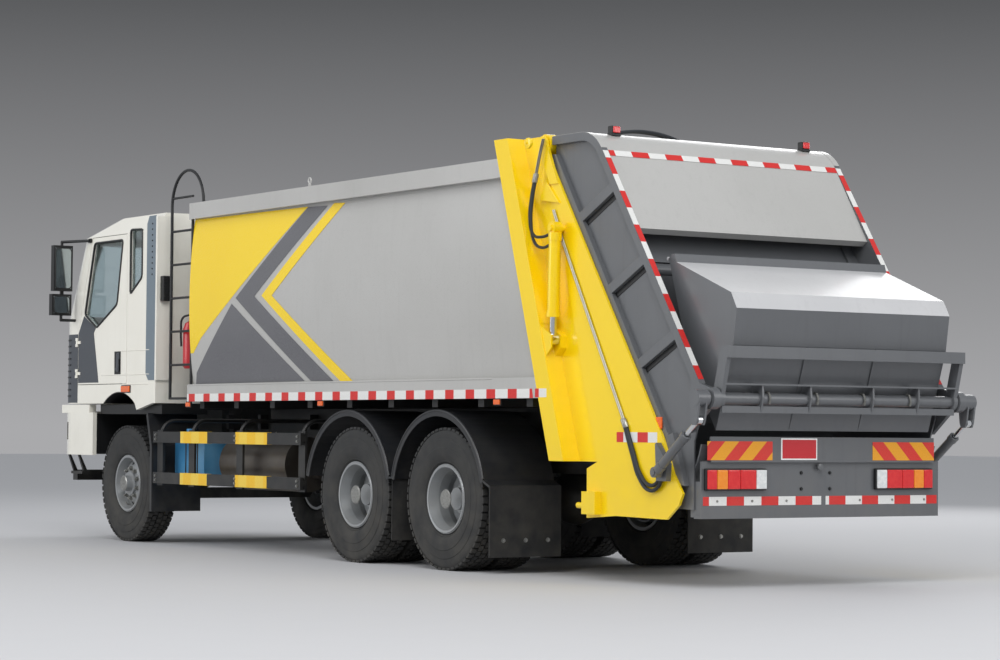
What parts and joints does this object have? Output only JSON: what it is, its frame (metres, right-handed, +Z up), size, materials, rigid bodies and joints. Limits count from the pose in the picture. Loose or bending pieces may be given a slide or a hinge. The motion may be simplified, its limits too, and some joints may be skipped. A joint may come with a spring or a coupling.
{
  "type": "rear-loading refuse compactor truck",
  "caption": "Cab-over refuse truck with a tilting cab, twin driven axles, a curved-side load body with an ejector, a lifting tailgate with packer, and a tipping bucket.",
  "frame": {"origin": "on the ground under the middle of the whole vehicle's length and width", "axes": "+X forward, +Y to the vehicle's left, +Z up"},
  "size_m": [10.408, 3, 3.3938],
  "materials": {
    "chassis_black": "satin black chassis paint",
    "cast_grey": "painted casting",
    "tank_alloy": "brushed",
    "tank_blue": "moulded",
    "heat_steel": "heat-dulled",
    "cab_white": "gloss enamel",
    "guard_black": "satin",
    "guard_plastic": "moulded",
    "flap_rubber": "matt",
    "body_silver": "silver-grey enamel",
    "body_yellow": "gloss enamel",
    "hopper_grey": "dark grey enamel",
    "grille_plastic": "moulded",
    "window_glass": "clear, faintly tinted",
    "dash_plastic": "grained",
    "seat_cloth": "woven",
    "tyre_rubber": "worn tread",
    "rim_steel": "silver wheel enamel",
    "rod_chrome": "ground and plated",
    "hose_line": "black hose and plated pipe"
  },
  "bodies": {
    "chassis": {"frame_rails": "chassis_black", "front_axle": "chassis_black", "drive_axles": "chassis_black", "leaf_springs": "chassis_black", "powertrain": "cast_grey", "fuel_tank": "tank_alloy", "urea_tank": "tank_blue", "exhaust_muffler": "heat_steel", "front_bumper": "cab_white", "front_steps": "guard_black", "side_guards": "guard_black", "mudguards": "guard_plastic", "mud_flaps": "flap_rubber", "box_sides": "body_silver", "box_roof": "body_silver", "box_floor": "body_silver", "box_front_wall": "body_silver", "box_rear_frame": "body_yellow", "access_ladder": "guard_black"},
    "ejector": {"ejector_panel": "hopper_grey"},
    "cab": {"cab_shell": "cab_white", "front_panel": "grille_plastic", "cab_glass": "window_glass", "cab_controls": "dash_plastic", "seats": "seat_cloth", "mirrors": "grille_plastic", "cab_fairings": "grille_plastic"},
    "left_door": {"left_door": "cab_white", "left_door_glass": "window_glass"},
    "right_door": {"right_door": "cab_white", "right_door_glass": "window_glass"},
    "left_knuckle": {"left_knuckle": "chassis_black"},
    "right_knuckle": {"right_knuckle": "chassis_black"},
    "left_front_wheel": {"left_front_tyre": "tyre_rubber", "left_front_rim": "rim_steel"},
    "right_front_wheel": {"right_front_tyre": "tyre_rubber", "right_front_rim": "rim_steel"},
    "left_mid_wheels": {"left_mid_tyres": "tyre_rubber", "left_mid_rims": "rim_steel"},
    "right_mid_wheels": {"right_mid_tyres": "tyre_rubber", "right_mid_rims": "rim_steel"},
    "left_rear_wheels": {"left_rear_tyres": "tyre_rubber", "left_rear_rims": "rim_steel"},
    "right_rear_wheels": {"right_rear_tyres": "tyre_rubber", "right_rear_rims": "rim_steel"},
    "tailgate": {"filler_frames": "body_yellow", "filler_walls": "hopper_grey", "filler_roof": "body_silver", "hopper_floor": "hopper_grey", "rear_board": "hopper_grey", "hydraulic_lines": "hose_line"},
    "packer": {"packer_slide": "hopper_grey"},
    "sweep": {"sweep_blade": "hopper_grey"},
    "bucket": {"tipping_bucket": "hopper_grey", "bucket_frame": "hopper_grey"},
    "lift_barrels": {"lift_barrels": "body_yellow"},
    "lift_rods": {"lift_rods": "rod_chrome"},
    "bucket_barrels": {"bucket_barrels": "hopper_grey"},
    "bucket_rods": {"bucket_rods": "rod_chrome"}
  },
  "joints": [
    {"name": "cab_tilt", "type": "hinge", "parent": "chassis", "child": "cab", "pos_m": [5.114, 0, 1.25], "axis": [0, 1, 0], "range_deg": [0, 45]},
    {"name": "left_door_swing", "type": "hinge", "parent": "cab", "child": "left_door", "pos_m": [4.657, 1.254, 1.73], "axis": [0, 0, -1], "range_deg": [0, 70]},
    {"name": "right_door_swing", "type": "hinge", "parent": "cab", "child": "right_door", "pos_m": [4.657, -1.254, 1.73], "axis": [0, 0, 1], "range_deg": [0, 70]},
    {"name": "left_steer", "type": "hinge", "parent": "chassis", "child": "left_knuckle", "pos_m": [3.754, 0.93, 0.5425], "axis": [0, 0, 1], "range_deg": [-35, 35]},
    {"name": "right_steer", "type": "hinge", "parent": "chassis", "child": "right_knuckle", "pos_m": [3.754, -0.93, 0.5425], "axis": [0, 0, 1], "range_deg": [-35, 35]},
    {"name": "left_front_wheel_spin", "type": "hinge", "parent": "left_knuckle", "child": "left_front_wheel", "pos_m": [3.754, 1, 0.5425], "axis": [0, 1, 0], "continuous": true},
    {"name": "right_front_wheel_spin", "type": "hinge", "parent": "right_knuckle", "child": "right_front_wheel", "pos_m": [3.754, -1, 0.5425], "axis": [0, 1, 0], "continuous": true},
    {"name": "left_mid_wheels_spin", "type": "hinge", "parent": "chassis", "child": "left_mid_wheels", "pos_m": [-0.596, 1, 0.5425], "axis": [0, 1, 0], "continuous": true},
    {"name": "right_mid_wheels_spin", "type": "hinge", "parent": "chassis", "child": "right_mid_wheels", "pos_m": [-0.596, -1, 0.5425], "axis": [0, 1, 0], "continuous": true},
    {"name": "left_rear_wheels_spin", "type": "hinge", "parent": "chassis", "child": "left_rear_wheels", "pos_m": [-1.946, 1, 0.5425], "axis": [0, 1, 0], "continuous": true},
    {"name": "right_rear_wheels_spin", "type": "hinge", "parent": "chassis", "child": "right_rear_wheels", "pos_m": [-1.946, -1, 0.5425], "axis": [0, 1, 0], "continuous": true},
    {"name": "ejector_slide", "type": "slide", "parent": "chassis", "child": "ejector", "axis": [-1, 0, 0], "range_m": [0, 4.5]},
    {"name": "tailgate_lift", "type": "hinge", "parent": "chassis", "child": "tailgate", "pos_m": [-3.096, 0, 3.15], "axis": [0, 1, 0], "range_deg": [0, 50]},
    {"name": "lift_barrel_swing", "type": "hinge", "parent": "tailgate", "child": "lift_barrels", "pos_m": [-3.366, 0, 2.52], "axis": [0, 1, 0], "range_deg": [-90, 5]},
    {"name": "lift_rod_slide", "type": "slide", "parent": "lift_barrels", "child": "lift_rods", "axis": [0.025, 0, -0.9997], "range_m": [0, 0.5]},
    {"name": "packer_slide_travel", "type": "slide", "parent": "tailgate", "child": "packer", "axis": [-0.5651, 0, -0.825], "range_m": [0, 0.55]},
    {"name": "sweep_turn", "type": "hinge", "parent": "packer", "child": "sweep", "pos_m": [-4.0768, 0, 2.1965], "axis": [0, 1, 0], "range_deg": [0, 50]},
    {"name": "bucket_tip", "type": "hinge", "parent": "tailgate", "child": "bucket", "pos_m": [-5.071, 0, 1.29], "axis": [0, -1, 0], "range_deg": [0, 90]},
    {"name": "bucket_barrel_swing", "type": "hinge", "parent": "tailgate", "child": "bucket_barrels", "pos_m": [-4.606, 0, 0.79], "axis": [0, 1, 0], "range_deg": [-5, 40]},
    {"name": "bucket_rod_slide", "type": "slide", "parent": "bucket_barrels", "child": "bucket_rods", "axis": [-0.7925, 0, 0.6099], "range_m": [-0.01, 0.05]}
  ],
  "couplings": [
    {"joint": "right_steer", "follows": "left_steer", "ratio": 1},
    {"joint": "lift_barrel_swing", "follows": "tailgate_lift", "ratio": -1.3363},
    {"joint": "lift_rod_slide", "follows": "tailgate_lift", "m_per_rad": 0.56936},
    {"joint": "bucket_barrel_swing", "follows": "bucket_tip", "ratio": 0.22377},
    {"joint": "bucket_rod_slide", "follows": "bucket_tip", "m_per_rad": 0.01074}
  ]
}
